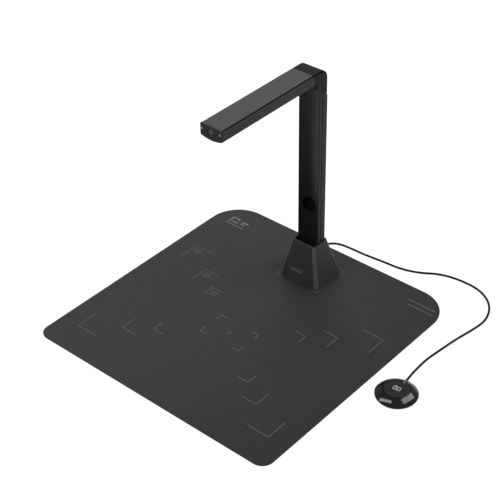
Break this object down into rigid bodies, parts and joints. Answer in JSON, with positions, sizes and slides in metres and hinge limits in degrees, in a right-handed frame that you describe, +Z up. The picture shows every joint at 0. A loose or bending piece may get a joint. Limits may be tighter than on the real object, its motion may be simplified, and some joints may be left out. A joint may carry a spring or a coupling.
{
  "type": "document camera",
  "caption": "Folding overhead document camera: a slim head on a mast in a tapered base, on a square marked desk mat, with a round wired remote button.",
  "frame": {"origin": "centre of the mat's underside, on the desk", "axes": "+Z up, +X along the mat's back edge towards the remote, the head points along -Y from the mast at the back"},
  "size_m": [0.5879, 0.5705, 0.4132],
  "materials": {
    "mat_sheet": "fine leather-like grain, matt",
    "base_plastic": "fine texture, satin",
    "mast_plastic": "fine texture, satin",
    "head_plastic": "fine texture, satin",
    "panel": "brushed-look satin",
    "gloss_black": "piano black",
    "cap_plastic": "satin black",
    "dark_plastic": "matt black",
    "dark_metal": "satin black",
    "steel": "machined",
    "aluminium": "extruded",
    "rubber": "matt",
    "cord": "smooth PVC sheath",
    "board": "solder mask",
    "ribbon": "polyimide film",
    "print": "pale print",
    "light_pipe": "frosted clear",
    "window": "tinted glass"
  },
  "bodies": {
    "stand": {"mat": "mat_sheet", "base_shell": "base_plastic", "base_bottom_plate": "base_plastic", "base_feet": "rubber", "base_weight": "steel", "base_screws": "steel", "mast_socket": "dark_plastic", "mast_socket_screws": "steel", "base_board": "board", "usb_socket": "steel", "base_cord_gland": "rubber", "base_front_marks": "print", "mast_front_shell": "mast_plastic", "mast_rear_shell": "mast_plastic", "mast_finger_cup": "dark_plastic", "mast_frame": "aluminium", "mast_screws": "steel", "hinge_bracket": "dark_metal", "hinge_bracket_screws": "steel", "mast_ribbon": "ribbon", "hinge_pin": "steel", "hinge_clips": "steel", "puck_bottom": "gloss_black", "puck_ring": "gloss_black", "puck_foot": "rubber", "puck_board": "board", "puck_board_posts": "dark_plastic", "puck_screws": "steel", "puck_switch": "dark_plastic", "puck_spring": "steel", "puck_light": "light_pipe", "puck_cord_gland": "rubber", "remote_cord": "cord"},
    "head": {"hinge_block": "head_plastic", "hinge_friction_discs": "steel", "head_tub": "head_plastic", "head_top_panel": "panel", "head_end_cap": "gloss_black", "end_lens": "gloss_black", "end_lights": "light_pipe", "head_chassis": "aluminium", "head_block_spacers": "steel", "head_screws": "steel", "camera_window": "window", "camera_barrel": "dark_plastic", "camera_lens": "window", "camera_holder": "dark_plastic", "sensor_board": "board", "lamp_diffuser": "light_pipe", "lamp_board": "board", "lamp_leds": "light_pipe", "head_board": "board", "head_ribbon": "ribbon"},
    "remote_button": {"puck_cap": "cap_plastic", "puck_symbol": "print"}
  },
  "joints": [
    {"name": "head_fold", "type": "hinge", "parent": "stand", "child": "head", "pos_m": [0, 0.165, 0.389], "axis": [1, 0, 0], "range_deg": [0, 90]},
    {"name": "remote_press", "type": "slide", "parent": "stand", "child": "remote_button", "axis": [0, 0, -1], "range_m": [0, 0.0015], "stiffness_N_per_m": 1500, "springref_m": -0.0005, "deforming": ["puck_spring"]}
  ]
}
